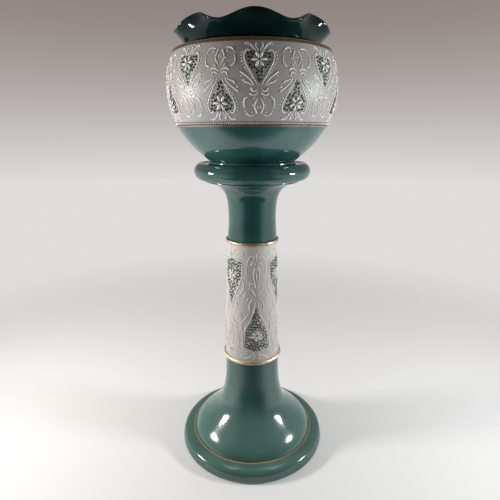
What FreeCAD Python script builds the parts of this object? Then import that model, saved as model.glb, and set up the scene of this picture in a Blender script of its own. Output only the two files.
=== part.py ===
"""A glazed earthenware jardiniere on its own stand.

The stand is a hollow column that was thrown in sections and luted together.
The jardiniere is a round pot with a frilled rim that only rests on the stand.
Each section, ring, gilded line and kind of raised ornament is a node of its own.
Millimetres, +Z up, origin on the floor in the middle of the foot.
"""
import FreeCAD
import Part
import math
import os
from FreeCAD import Placement, Rotation, Vector

os.makedirs("parts", exist_ok=True)

# ---------------------------------------------------------------- stand
stand_wall = 9.0

foot_edge_radius = 168.2
foot_edge_roll = 3.4
foot_flange_width = 28.7
foot_flange_height = 30.0
foot_line_width = 3.0

foot_height = 226.0
drum_height = 269.0
drum_low_radius = 61.3
drum_high_radius = 52.8
ring_half_height = 4.5
lower_ring_proud = 5.4
upper_ring_proud = 4.6

waist_inset = 1.9
neck_height = 124.5
cavetto_radius = 94.0
step_thickness = 4.0
step_overhang = 4.0
top_thickness = 31.5
top_overhang = 3.0
top_crown_width = 9.5
top_crown_rise = 2.0
top_edge_roll = 11.5

# ------------------------------------------------------------- jardiniere
pot_wall = 8.0
pot_floor_thickness = 9.0
seat_margin = 8.0
dish_depth = 5.0
foot_ring_radius = 90.5
foot_ring_width = 10.5
foot_ring_height = 6.0

bowl_foot_inset = 3.5
bowl_height = 64.5
band_height = 135.5
belly_radius = 164.3
belly_height_share = 0.52
band_low_inset = 17.1
band_high_inset = 14.5
shoulder_width = 16.0

collar_height = 9.0
collar_inset = 21.5

# --------------------------------------------------------------- frilled rim
lobe_count = 8
lip_rise = 27.5
lip_wave_height = 8.3
lip_flare = 17.7
lip_wave_in = 6.5
lip_pinch = 4.5
fold_rise = 15.0
fold_wave_height = 5.0
fold_flare = 11.0
fold_wave_out = 1.5
stem_rise_share = 0.4
stem_flare_share = 0.1
lip_thickness = 5.5
front_lobe_turn = 2.0
lobe_drift = 5.3
lobe_drift_back = 2.2
rim_samples = 96

# ------------------------------------------------------------------ ornament
gilt_proud = 0.9
skin_gap = 0.05
skin_edge_share = 0.12
slip_gap = 0.03
low_gilt_line_width = 3.5
high_gilt_line_width = 1.8
bead_row_width = 4.8
high_bead_row_width = 4.0
bead_row_proud = 0.5

slip_height = 0.9
slip_half_width = 1.15
bud_half_width = 1.4
bud_height = 0.9
pot_column_count = 16
pot_front_turn = 4.0
drum_column_count = 6
drum_front_turn = 9.0
drum_pattern_drop = 2.5

# The sprays below are drawn flat, at these sizes, and fitted to their walls.
pot_drawn_pitch = 64.5
pot_drawn_margin = 3.4
drum_drawn_pitch = 63.4
drum_drawn_margin = 9.0

pot_blossom_up = 31.5
pot_petal_reach = 11.3
drum_blossom_up = 67.0
drum_petal_reach = 10.0
petal_root = 3.0
petal_count = 6
petal_half_width = 2.4
petal_root_half_width = 0.7
petal_shoulder_share = 0.68
petal_height = 0.8
blossom_eye_radius = 2.3
blossom_eye_top_radius = 1.4
blossom_eye_height = 1.2
floret_lobes = 5
floret_radius = 4.8
floret_valley_radius = 2.6
tip_floret_scale = 0.52
floret_height = 0.6
floret_pitch = 10.9
floret_clearance = 0.5

# How wide a slip trail is along its length, as shares of its full width.
TRAIL = ((0.0, 1.15), (0.2, 1.0), (0.8, 0.8), (1.0, 0.4))
LEAF = ((0.0, 0.3), (0.3, 0.85), (0.6, 1.0), (1.0, 0.35))
# Across a trail: how far out and how high, as shares of half width and height.
TRAIL_SECTION = ((-1.0, 0.0), (-0.9, 0.8), (0.0, 1.2), (0.9, 0.8), (1.0, 0.0))

# Right-hand half of one heart spray on the jardiniere, heart point down:
# millimetres across from its middle line and up from the middle of the band.
POT_TRAILS = {
    "heart_side": (
        (15.6, 44.8), (19.8, 46.5), (24.0, 41.5), (24.0, 32.5), (18.5, 20.5), (12.5, 10.5), (4.2, -4.5),
    ),
    "notch_plume": ((23.0, 54.8), (20.5, 57.3), (15.5, 55.8), (10.5, 51.3), (5.5, 44.0)),
    "notch_curl": ((4.0, 56.0), (6.3, 54.5), (4.8, 50.5), (2.2, 45.0)),
    "long_sprig": ((30.5, 14.5), (22.5, 9.0), (14.5, 2.0), (9.0, -7.0)),
    "long_sprig_barb": ((30.2, 7.6), (27.3, 9.1)),
    "short_sprig": ((25.5, 2.5), (22.5, -1.0), (17.0, -2.6), (13.0, -7.0)),
    "tip_curl": ((12.8, -9.8), (12.0, -13.2), (8.5, -14.6), (4.4, -11.8)),
    "forked_leaf": ((15.0, -17.5), (12.0, -20.2), (6.5, -19.6), (2.2, -16.4)),
    "bracket": ((19.0, -23.5), (23.8, -26.2), (25.6, -33.0), (24.2, -40.5)),
    "bracket_foot": ((21.8, -47.0), (18.5, -50.4), (13.0, -51.4), (8.4, -49.4)),
    "lance_leaf": ((3.0, -48.0), (6.2, -42.0), (7.6, -35.5), (5.8, -31.0), (2.0, -24.5)),
    "lance_leaf_barb": ((11.0, -34.8), (9.5, -36.6)),
}
POT_OVAL = ((2.0, -40.8), (2.0, -36.2))
POT_BUD = ((6.3, -22.4), (10.6, -27.4))
POT_FLORETS = ((16.4, 37.9), (-16.4, 37.9), (11.8, 21.6), (-11.8, 21.6), (0.0, 11.6))
POT_TIP_FLORET = (0.0, 3.0)

# The same spray drawn out taller for the drum of the stand.
DRUM_TRAILS = {
    "heart_side": ((26.5, 58.0), (21.5, 44.0), (12.0, 26.0), (6.0, 7.0), (3.0, -10.0)),
    "heart_hook": ((20.5, 104.5), (27.0, 99.0), (31.0, 85.0), (29.6, 68.0)),
    "notch_plume": ((29.5, 113.0), (31.0, 117.5), (25.0, 120.0), (13.5, 115.0), (5.2, 107.5)),
    "notch_curl": ((11.0, 119.8), (8.0, 121.0), (5.2, 117.0), (2.4, 109.0)),
    "outer_leaf": ((31.0, 57.0), (34.8, 47.0), (30.0, 33.0), (22.5, 23.5), (18.5, 13.5)),
    "inner_leaf": ((15.5, 7.5), (16.5, -4.0), (12.5, -14.5), (6.0, -20.5)),
    "side_scroll": (
        (24.0, -20.5), (21.0, -18.2), (22.5, -14.6), (27.0, -18.0), (27.0, -28.0), (21.5, -36.0),
    ),
    "low_sprig": ((17.5, -41.5), (12.5, -40.0), (6.5, -33.0), (1.8, -23.5)),
    "wing": ((15.5, -50.0), (12.0, -54.0), (6.5, -51.0), (2.2, -43.5)),
    "lance_leaf": ((3.0, -88.0), (7.0, -77.0), (6.0, -64.0), (1.8, -47.5)),
    "tip_curl": ((11.8, -93.0), (10.5, -96.6), (6.5, -97.2), (3.4, -92.5)),
    "bracket": ((4.6, -108.5), (12.5, -112.5), (18.8, -104.0), (20.8, -92.0)),
    "bracket_foot": ((23.2, -85.0), (22.8, -77.0), (19.8, -71.5)),
}
DRUM_MIDDLE_LEAVES = {
    "middle_leaf": ((0.0, -77.0), (0.0, -58.0)),
    "arrow_stem": ((0.0, -117.5), (0.0, -101.5)),
}
# Half width of the drum's heart at each height: its florets fill this outline.
DRUM_HEART = ((4.0, 0.5), (26.0, 9.0), (57.0, 22.0), (72.0, 26.5), (92.0, 26.0), (103.0, 17.0))
DRUM_TIP_FLORET = (0.0, 13.0)
drum_first_floret_up = 22.5


# ------------------------------------------------------------ turned sections
def interpolated(points):
    curve = Part.BSplineCurve()
    curve.interpolate(points)
    return curve


def outline(points):
    """A smooth profile through (radius, height) points, running upwards."""
    return interpolated([Vector(radius, 0, height) for radius, height in points])


def between(low, high, shares):
    """Profile points between two (radius, height) points, given as shares of the way."""
    rise = high[1] - low[1]
    spread = high[0] - low[0]
    return [(low[0] + across * spread, low[1] + up * rise) for across, up in shares]


def share_point(curve, share):
    first, last = curve.FirstParameter, curve.LastParameter
    at = first + share * (last - first)
    return curve.value(at), curve.tangent(at)[0]


def proud_of(curve, share, distance):
    """The point that lies a distance outside a profile, square to it."""
    point, along = share_point(curve, share)
    return point + Vector(along.z, 0, -along.x) * distance


def height_share(curve, height):
    """Where along a rising profile a height lies."""
    low, high = 0.0, 1.0
    for _ in range(40):
        middle = (low + high) / 2
        if share_point(curve, middle)[0].z < height:
            low = middle
        else:
            high = middle
    return (low + high) / 2


def edges_of(points):
    """Straight edges through a list of points."""
    pairs = zip(points, points[1:])
    return [Part.LineSegment(a, b).toShape() for a, b in pairs if a.distanceToPoint(b) > 1e-6]


def outward(solid):
    """The solid with its faces turned to look outwards."""
    if solid.Volume < 0:
        solid.reverse()
    return solid


def turned(edges):
    """A closed outline turned once round the upright axis."""
    wire = Part.Wire(Part.__sortEdges__(edges))
    return outward(Part.Face(wire).revolve(Vector(0, 0, 0), Vector(0, 0, 1), 360))


def level_set_in(curve, share, wall):
    """Where the inside of a wall meets a level joint."""
    point, along = share_point(curve, share)
    return point - Vector(wall / along.z, 0, 0)


EVENLY = tuple(step / 8 for step in range(1, 8))


def wall_section(
    curve, wall, inside_low=None, inside_high=None, shares=EVENLY, low_seat=0.0, high_seat=0.0
):
    """A thrown wall of even thickness, level at its joints unless they are given.

    A seat carries the wall straight on past its profile, inside a ring.
    """
    outside_low = share_point(curve, 0.0)[0]
    outside_high = share_point(curve, 1.0)[0]
    inside_low = inside_low or level_set_in(curve, 0.0, wall)
    inside_high = inside_high or level_set_in(curve, 1.0, wall)
    middle = [proud_of(curve, share, -wall) for share in shares]
    inside = interpolated([inside_low] + middle + [inside_high])
    low = Vector(0, 0, -low_seat)
    high = Vector(0, 0, high_seat)
    edges = [curve.toShape(), inside.toShape()]
    edges += edges_of([outside_low, outside_low + low, inside_low + low, inside_low])
    edges += edges_of([outside_high, outside_high + high, inside_high + high, inside_high])
    return turned(edges)


def skin_band(curve, low, high, proud):
    """A thin flat-topped band lying on a turned wall between two shares of its profile."""
    inset = (high - low) * skin_edge_share
    places = ((low, skin_gap), (low + inset, proud), (high - inset, proud), (high, skin_gap))
    corners = [proud_of(curve, share, distance) for share, distance in places]
    return turned(edges_of(corners + corners[:1]))


def skin_between(curve, low_height, high_height, proud):
    return skin_band(curve, height_share(curve, low_height), height_share(curve, high_height), proud)


def bead_ring(seat_radius, height, proud):
    """A half-round ring on the outside of a straight seat."""
    low = Vector(seat_radius, 0, height - ring_half_height)
    high = Vector(seat_radius, 0, height + ring_half_height)
    crown = Vector(seat_radius + proud, 0, height)
    return turned([Part.Arc(low, crown, high).toShape()] + edges_of([high, low]))


# ---------------------------------------------------------------- the profiles
foot_rest_radius = foot_edge_radius - foot_edge_roll
foot_joint_radius = foot_edge_radius - foot_flange_width
drum_low = foot_height
drum_high = drum_low + drum_height
waist_radius = drum_high_radius - waist_inset
neck_high = drum_high + neck_height
step_high = neck_high + step_thickness
step_radius = cavetto_radius + step_overhang
seat_height = step_high + top_thickness
seat_outer_radius = foot_ring_radius + seat_margin
top_underside_radius = step_radius + top_overhang
top_crown_radius = seat_outer_radius + top_crown_width
top_crown_height = seat_height + top_crown_rise
top_edge_radius = top_crown_radius + top_edge_roll
bowl_low = seat_height + foot_ring_height
bowl_low_radius = foot_ring_radius - bowl_foot_inset
band_low = bowl_low + bowl_height
band_high = band_low + band_height
band_low_radius = belly_radius - band_low_inset
band_high_radius = belly_radius - band_high_inset
belly_height = band_low + band_height * belly_height_share
collar_radius = band_high_radius - collar_inset
rim_low = band_high + collar_height

FLANGE_SHARES = ((0.0, 0.28), (0.035, 0.56), (0.146, 0.79), (0.383, 0.91), (1.0, 1.0))
foot_flange_curve = outline(
    [(foot_rest_radius, 0)]
    + between((foot_edge_radius, 0), (foot_joint_radius, foot_flange_height), FLANGE_SHARES)
)
dome_top = (drum_low_radius, drum_low - ring_half_height)
dome_foot = (foot_joint_radius, foot_flange_height)
DOME_SHARES = (
    (1.0, 0.0), (0.927, 0.063), (0.845, 0.104), (0.616, 0.188), (0.399, 0.272),
    (0.21, 0.366), (0.091, 0.496), (0.019, 0.679), (0.001, 0.862), (0.0, 1.0),
)
foot_dome_curve = outline(between((dome_top[0], dome_foot[1]), (dome_foot[0], dome_top[1]), DOME_SHARES))
drum_curve = outline((
    (drum_low_radius, drum_low + ring_half_height),
    (drum_high_radius, drum_high - ring_half_height),
))
neck_foot = (drum_high_radius, drum_high + ring_half_height)
NECK_SHARES = ((0.0, 0.27), (0.019, 0.588), (0.111, 0.754), (0.234, 0.84), (0.487, 0.923), (1.0, 1.0))
neck_curve = outline(
    [neck_foot] + between((waist_radius, neck_foot[1]), (cavetto_radius, neck_high), NECK_SHARES)
)
BOWL_SHARES = ((0.0, 0.0), (0.282, 0.209), (0.565, 0.45), (0.822, 0.744), (1.0, 1.0))
bowl_curve = outline(between((bowl_low_radius, bowl_low), (band_low_radius, band_low), BOWL_SHARES))
band_foot = (band_low_radius, band_low)
band_head = (band_high_radius, band_high)
belly = (belly_radius, belly_height)
LOWER_BELLY_SHARES = ((0.0, 0.0), (0.427, 0.277), (0.836, 0.603), (1.0, 1.0))
UPPER_BELLY_SHARES = ((0.883, 0.631), (0.483, 0.277), (0.0, 0.0))
band_curve = outline(
    between(band_foot, belly, LOWER_BELLY_SHARES) + between(band_head, belly, UPPER_BELLY_SHARES)
)

foot_joint_low = Vector(foot_joint_radius, 0, foot_flange_height - stand_wall)
neck_hollow_radius = level_set_in(neck_curve, 1.0, stand_wall).x
shoulder_inside = Vector(band_high_radius - shoulder_width, 0, band_high)
low_beads = band_low + low_gilt_line_width
high_beads = band_high - high_gilt_line_width
pattern_low = low_beads + bead_row_width
pattern_high = high_beads - high_bead_row_width


# ------------------------------------------------------------- stand sections
def make_foot_gilt_line():
    """A gilded line on the flange, just outside the foot of the dome."""
    curve = foot_flange_curve
    edge = Vector(foot_joint_radius + foot_line_width, 0, foot_flange_height)
    first, last = curve.FirstParameter, curve.LastParameter
    share = (curve.parameter(edge) - first) / (last - first)
    return skin_band(curve, share, 1.0, gilt_proud)


def make_flange_step():
    nose_radius = step_radius - step_thickness / 2
    low_edge = Vector(nose_radius, 0, neck_high)
    high_edge = Vector(nose_radius, 0, step_high)
    nose = Vector(step_radius, 0, (neck_high + step_high) / 2)
    hollow_low = Vector(neck_hollow_radius, 0, neck_high)
    hollow_high = Vector(neck_hollow_radius, 0, step_high)
    edges = [Part.Arc(low_edge, nose, high_edge).toShape()]
    return turned(edges + edges_of([high_edge, hollow_high, hollow_low, low_edge]))


def make_top_flange():
    """The round-edged top, dished in the middle, with a level seat for the pot."""
    seat_inner = foot_ring_radius - foot_ring_width - seat_margin / 2
    dish_height = seat_height - dish_depth
    ceiling = dish_height - stand_wall
    underside = Vector(top_underside_radius, 0, step_high)
    crown = Vector(top_crown_radius, 0, top_crown_height)
    edge_middle = Vector(top_edge_radius, 0, (step_high + top_crown_height) / 2)
    edges = [Part.Arc(underside, edge_middle, crown).toShape()]
    return turned(edges + edges_of([
        crown,
        Vector(seat_outer_radius, 0, seat_height),
        Vector(seat_inner, 0, seat_height),
        Vector(seat_inner - dish_depth, 0, dish_height),
        Vector(0, 0, dish_height),
        Vector(0, 0, ceiling),
        Vector(neck_hollow_radius - dish_depth, 0, ceiling),
        Vector(neck_hollow_radius, 0, step_high),
        underside,
    ]))


# -------------------------------------------------------- jardiniere sections
def make_foot_ring():
    inner = foot_ring_radius - foot_ring_width
    low_edge = Vector(foot_ring_radius - foot_ring_height / 3, 0, seat_height)
    nose = Vector(foot_ring_radius, 0, seat_height + foot_ring_height / 2)
    high_edge = Vector(bowl_low_radius, 0, bowl_low)
    edges = [Part.Arc(low_edge, nose, high_edge).toShape()]
    return turned(edges + edges_of([
        high_edge,
        Vector(inner, 0, bowl_low),
        Vector(inner, 0, seat_height),
        low_edge,
    ]))


def make_bowl():
    """The lower wall of the pot in one piece with its flat floor."""
    floor_high = bowl_low + pot_floor_thickness
    outside_low = share_point(bowl_curve, 0.0)[0]
    outside_high = share_point(bowl_curve, 1.0)[0]
    inside_high = level_set_in(bowl_curve, 1.0, pot_wall)
    corner = height_share(bowl_curve, floor_high)
    floor_edge = Vector(proud_of(bowl_curve, corner, -2 * pot_wall).x, 0, floor_high)
    shares = [corner + (1.0 - corner) * step / 5 for step in range(1, 5)]
    middle = [proud_of(bowl_curve, share, -pot_wall) for share in shares]
    inside = interpolated([floor_edge] + middle + [inside_high])
    edges = [bowl_curve.toShape(), inside.toShape()]
    edges += edges_of([outside_high, inside_high])
    return turned(edges + edges_of([
        floor_edge,
        Vector(0, 0, floor_high),
        Vector(0, 0, bowl_low),
        outside_low,
    ]))


def make_collar():
    """The drawn-in neck under the frill: a hollow round that leaves the band level."""
    radius = (collar_inset ** 2 + collar_height ** 2) / (2 * collar_height)
    sweep = math.acos(1 - collar_height / radius)
    hollow = []
    for step in range(5):
        turn = sweep * step / 4
        run = radius * math.sin(turn)
        rise = radius * (1 - math.cos(turn))
        hollow.append(Vector(band_high_radius - run, 0, band_high + rise))
    inside_high = hollow[-1] - Vector(pot_wall, 0, 0)
    edges = [interpolated(hollow).toShape()]
    return turned(edges + edges_of([hollow[-1], inside_high, shoulder_inside, hollow[0]]))


# --------------------------------------------------------------- frilled rim
def lobe_wave(turn):
    """From -1 in a dip to 1 on a crest; crimped by hand, so the lobes drift a little."""
    drift = lobe_drift * math.sin(turn) - lobe_drift_back * math.sin(2 * turn)
    return math.cos(lobe_count * (turn - math.radians(front_lobe_turn + drift)))


def rim_section(wave):
    """The frill cut through at one place: up its outside, over the lip, down its inside."""
    foot = Vector(collar_radius - pot_wall / 2, 0, rim_low)
    out = Vector(fold_flare + fold_wave_out * wave, 0, 0)
    up = Vector(0, 0, fold_rise + fold_wave_height * wave)
    stem = foot + out * stem_flare_share + up * stem_rise_share
    fold = foot + out + up
    lip_out = lip_flare - lip_wave_in * wave - lip_pinch * wave * wave
    lip = foot + Vector(lip_out, 0, lip_rise + lip_wave_height * wave)
    spine = Part.BezierCurve()
    spine.setPoles([foot, stem, fold, lip])
    shares = (0.25, 0.5, 0.75, 0.97)
    half_wall = Vector(pot_wall / 2, 0, 0)
    outside = [foot + half_wall]
    inside = [foot - half_wall]
    for share in shares:
        along = spine.tangent(share)[0]
        out = Vector(along.z, 0, -along.x)
        half = (pot_wall + (lip_thickness - pot_wall) * share) / 2
        outside.append(spine.value(share) + out * half)
        inside.append(spine.value(share) - out * half)
    end = spine.tangent(1.0)[0]
    out = Vector(end.z, 0, -end.x)
    turns = [math.radians(angle) for angle in (45, 90, 135)]
    nose = [lip + (out * math.cos(turn) + end * math.sin(turn)) * (lip_thickness / 2) for turn in turns]
    return outside + nose + inside[::-1]


def spline_poles(points, places):
    curve = Part.BSplineCurve()
    curve.interpolate(Points=points, Parameters=places)
    return curve


def chord_places(points):
    """Places along a line of points, by the distances between them."""
    places = [0.0]
    for a, b in zip(points, points[1:]):
        places.append(places[-1] + a.distanceToPoint(b))
    return [place / places[-1] for place in places]


def make_frilled_rim():
    """One smooth skin round the frill, closed by the flat joint on the collar."""
    turns = [2 * math.pi * step / rim_samples for step in range(rim_samples)]
    sections = [rim_section(lobe_wave(turn)) for turn in turns]
    up_places = chord_places(rim_section(0.0))
    round_places = [step / rim_samples for step in range(rim_samples + 1)]
    rows = []
    for row in range(len(up_places)):
        points = []
        for turn, section in zip(turns, sections):
            spot = section[row]
            points.append(Vector(spot.x * math.sin(turn), -spot.x * math.cos(turn), spot.z))
        ring = Part.BSplineCurve()
        ring.interpolate(Points=points, PeriodicFlag=True, Parameters=round_places)
        rows.append(ring)
    ring_poles = [ring.getPoles() for ring in rows]
    columns = [spline_poles(list(column), up_places) for column in zip(*ring_poles)]
    poles = [list(row) for row in zip(*[column.getPoles() for column in columns])]
    ring = rows[0]
    column = columns[0]
    skin = Part.BSplineSurface()
    skin.buildFromPolesMultsKnots(
        poles,
        column.getMultiplicities(), ring.getMultiplicities(),
        column.getKnots(), ring.getKnots(),
        False, True,
        column.Degree, ring.Degree,
    )
    frill = skin.toShape()
    rims = [edge for edge in frill.Edges if abs(edge.BoundBox.ZLength) < 0.01]
    outer, inner = sorted(rims, key=lambda edge: -edge.BoundBox.XLength)
    joint = Part.Face([Part.Wire([outer]), Part.Wire([inner])])
    shell = Part.makeShell(frill.Faces + [joint])
    shell.sewShape()
    return outward(Part.Solid(shell))


# ------------------------------------------------------------------- ornament
class Wall:
    """A decorated wall, with the flat drawing of its sprays fitted to it."""

    def __init__(self, curve, low, high, columns, drawn_pitch, lines, margin):
        top = max(up for line in lines for _, up in line)
        self.curve = curve
        self.middle = (low + high) / 2
        self.turn_per_mm = 2 * math.pi / columns / drawn_pitch
        self.rise_per_mm = (high - low) / (2 * (top + margin))

    def place(self, across, up, proud):
        share = height_share(self.curve, self.middle + up * self.rise_per_mm)
        point = proud_of(self.curve, share, proud)
        turn = across * self.turn_per_mm
        return Vector(point.x * math.sin(turn), -point.x * math.cos(turn), point.z)

    def out(self, across, up):
        return self.place(across, up, 1.0) - self.place(across, up, 0.0)

    def frame(self, across, up):
        """Where a flat piece sits on the wall, facing straight out from it."""
        out = self.out(across, up)
        level = Vector(0, 0, 1).cross(out)
        return Placement(self.place(across, up, slip_gap), Rotation(level, Vector(), out, "ZXY"))


pot_band = Wall(
    band_curve,
    pattern_low,
    pattern_high,
    pot_column_count,
    pot_drawn_pitch,
    POT_TRAILS.values(),
    pot_drawn_margin,
)
drum_wall = Wall(
    drum_curve,
    drum_low + ring_half_height - drum_pattern_drop,
    drum_high - ring_half_height - drum_pattern_drop,
    drum_column_count,
    drum_drawn_pitch,
    DRUM_TRAILS.values(),
    drum_drawn_margin,
)


def share_width(widths, share):
    for (low, low_width), (high, high_width) in zip(widths, widths[1:]):
        if share <= high:
            return low_width + (high_width - low_width) * (share - low) / (high - low)
    return widths[-1][1]


def spline_sheet(rails, places, degree):
    """A skin over the lines of a trail: degree 2 is round across it, and 1 is flat."""
    curves = [spline_poles(rail, places) for rail in rails]
    poles = [curve.getPoles() for curve in curves]
    inner_knots = len(rails) - degree - 1
    knots = list(range(inner_knots + 2))
    mults = [degree + 1] + [1] * inner_knots + [degree + 1]
    skin = Part.BSplineSurface()
    skin.buildFromPolesMultsKnots(
        poles,
        mults, curves[0].getMultiplicities(),
        knots, curves[0].getKnots(),
        False, False,
        degree, curves[0].Degree,
    )
    return skin.toShape()


def end_cap(section):
    """The flat end of a trail."""
    arch = Part.BSplineCurve()
    arch.buildFromPolesMultsKnots(section, [3, 1, 1, 3], [0, 1, 2, 3], False, 2)
    chord = Part.LineSegment(section[-1], section[0])
    return Part.Face(Part.Wire([arch.toShape(), chord.toShape()]))


def trail(wall, points, half_width, widths, flip):
    """A raised, round-backed slip trail along a smooth line on a wall."""
    spine = interpolated([Vector(across, up * flip, 0) for across, up in points])
    steps = 2 * (len(points) - 1) + 1
    rails = [[] for _ in TRAIL_SECTION]
    nudge = 0.01
    for step in range(steps):
        share = step / (steps - 1)
        at, along = share_point(spine, share)
        size = share_width(widths, share)
        foot = wall.place(at.x, at.y, slip_gap)
        side = wall.place(at.x - along.y * nudge, at.y + along.x * nudge, slip_gap) - foot
        side.normalize()
        out = wall.out(at.x, at.y)
        wide = half_width * size
        tall = slip_height * min(size, 1.0)
        for rail, (across, high) in zip(rails, TRAIL_SECTION):
            rail.append(foot + side * (across * wide) + out * (high * tall))
    places = chord_places(rails[0])
    back = spline_sheet(rails, places, 2)
    seat = spline_sheet([rails[0], rails[-1]], places, 1)
    caps = [end_cap([rail[end] for rail in rails]) for end in (0, -1)]
    shell = Part.makeShell([back, seat] + caps)
    shell.sewShape()
    return outward(Part.Solid(shell))


def mirrored_pair(points):
    return (points, tuple((-across, up) for across, up in points))


def trails(wall, lines, half_width, widths, flip):
    """Each drawn line and its mirror image, laid on a wall."""
    sides = [side for line in lines for side in mirrored_pair(line)]
    return [trail(wall, side, half_width, widths, flip) for side in sides]


def plate(wall, edges, height, across, up, spin):
    """A flat piece with a drawn outline, set on a wall and spun about its own middle."""
    piece = Part.Face(Part.Wire(edges)).extrude(Vector(0, 0, height))
    piece.rotate(Vector(0, 0, 0), Vector(0, 0, 1), spin)
    piece.Placement = wall.frame(across, up).multiply(piece.Placement)
    return piece


def teardrop(length):
    """A petal's outline: narrow by the eye, widest near its round outer end."""
    shoulder = length * (petal_shoulder_share - 0.5)
    low_root = Vector(-length / 2, -petal_root_half_width, 0)
    high_root = Vector(-length / 2, petal_root_half_width, 0)
    low_shoulder = Vector(shoulder, -petal_half_width, 0)
    high_shoulder = Vector(shoulder, petal_half_width, 0)
    bulge = Vector(0, petal_root_half_width / 2, 0)
    return [
        Part.Arc(low_root, (low_root + low_shoulder) / 2 - bulge, low_shoulder).toShape(),
        Part.Arc(low_shoulder, Vector(length / 2, 0, 0), high_shoulder).toShape(),
        Part.Arc(high_shoulder, (high_root + high_shoulder) / 2 + bulge, high_root).toShape(),
        Part.LineSegment(high_root, low_root).toShape(),
    ]


def petals(wall, up, reach, flip):
    """The petals round one blossom."""
    made = []
    out = (petal_root + reach) / 2
    for number in range(petal_count):
        spin = 360.0 * number / petal_count
        turn = math.radians(spin)
        across = math.cos(turn) * out
        rise = up * flip + math.sin(turn) * out
        made.append(plate(wall, teardrop(reach - petal_root), petal_height, across, rise, spin))
    return made


def lens(length):
    """A bud's outline: pointed at both ends."""
    ends = (Vector(-length / 2, 0, 0), Vector(length / 2, 0, 0))
    low = Part.Arc(ends[0], Vector(0, -bud_half_width, 0), ends[1])
    high = Part.Arc(ends[1], Vector(0, bud_half_width, 0), ends[0])
    return [low.toShape(), high.toShape()]


def blossom_eye(wall, up, flip):
    eye = Part.makeCone(blossom_eye_radius, blossom_eye_top_radius, blossom_eye_height)
    eye.Placement = wall.frame(0.0, up * flip)
    return eye


def floret(scale):
    """A flat flower with round lobes, face up at the origin."""
    edges = []
    for lobe in range(floret_lobes):
        spots = []
        for part, reach in ((0.0, floret_valley_radius), (0.5, floret_radius), (1.0, floret_valley_radius)):
            turn = 2 * math.pi * (lobe + part) / floret_lobes
            spots.append(Vector(math.cos(turn), math.sin(turn), 0) * (reach * scale))
        edges.append(Part.Arc(*spots).toShape())
    return Part.Face(Part.Wire(edges)).extrude(Vector(0, 0, floret_height))


def florets(wall, spots, tip, flip):
    """The florets inside one heart, with a small one at its point."""
    made = []
    for (across, up), scale in [(spot, 1.0) for spot in spots] + [(tip, tip_floret_scale)]:
        flower = floret(scale)
        flower.Placement = wall.frame(across, up * flip)
        made.append(flower)
    return made


def drum_heart_half_width(up):
    for (low, low_width), (high, high_width) in zip(DRUM_HEART, DRUM_HEART[1:]):
        if low <= up <= high:
            return low_width + (high_width - low_width) * (up - low) / (high - low)
    return 0.0


def drum_floret_spots():
    """Staggered rows that fill the heart, clear of its blossom."""
    spots = []
    row_pitch = floret_pitch * math.sqrt(3) / 2
    clear = drum_petal_reach + floret_radius + floret_clearance
    widest = int(max(width for _, width in DRUM_HEART) / floret_pitch) + 1
    row_count = int((DRUM_HEART[-1][0] - floret_radius - drum_first_floret_up) / row_pitch) + 1
    for row in range(row_count):
        up = drum_first_floret_up + row * row_pitch
        room = max(drum_heart_half_width(up) - 0.75 * floret_radius, floret_clearance)
        offset = floret_pitch / 2 if row % 2 else 0.0
        for column in range(-widest, widest + 1):
            across = column * floret_pitch + offset
            by_blossom = math.hypot(across, up - drum_blossom_up) < clear
            if abs(across) <= room and not by_blossom:
                spots.append((across, up))
    return spots


def round_the_axis(solids, first_turn, count):
    """Copies of one spray, evenly spaced about the upright axis."""
    made = []
    for number in range(count):
        for solid in solids:
            copy = solid.copy()
            copy.rotate(Vector(0, 0, 0), Vector(0, 0, 1), first_turn + 360.0 * number / count)
            made.append(copy)
    return made


def all_round(make, down_turn, column_count):
    """Hearts point down in every second column and up in the columns between."""
    up_turn = down_turn + 360.0 / column_count
    down = round_the_axis(make(1), down_turn, column_count // 2)
    up = round_the_axis(make(-1), up_turn, column_count // 2)
    return Part.makeCompound(down + up)


def on_pot(make):
    """The pot's front heart points down."""
    return all_round(lambda flip: make(pot_band, flip), pot_front_turn, pot_column_count)


def on_drum(make):
    """The drum's front heart points up, so the first one down is a column before it."""
    down_turn = drum_front_turn - 360.0 / drum_column_count
    return all_round(lambda flip: make(drum_wall, flip), down_turn, drum_column_count)


# -------------------------------------------------------------- sprays by kind
def pot_slip(wall, flip):
    lines = trails(wall, POT_TRAILS.values(), slip_half_width, TRAIL, flip)
    return lines + trails(wall, [POT_OVAL], slip_half_width, LEAF, flip)


def pot_buds(wall, flip):
    made = []
    for (across, up), (tip_across, tip_up) in mirrored_pair(POT_BUD):
        run = tip_across - across
        rise = (tip_up - up) * flip
        middle = ((across + tip_across) / 2, (up + tip_up) * flip / 2)
        spin = math.degrees(math.atan2(rise, run))
        made.append(plate(wall, lens(math.hypot(run, rise)), bud_height, *middle, spin))
    return made


def drum_slip(wall, flip):
    lines = trails(wall, DRUM_TRAILS.values(), slip_half_width, TRAIL, flip)
    middle = [trail(wall, line, bud_half_width, LEAF, flip) for line in DRUM_MIDDLE_LEAVES.values()]
    return lines + middle


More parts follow.
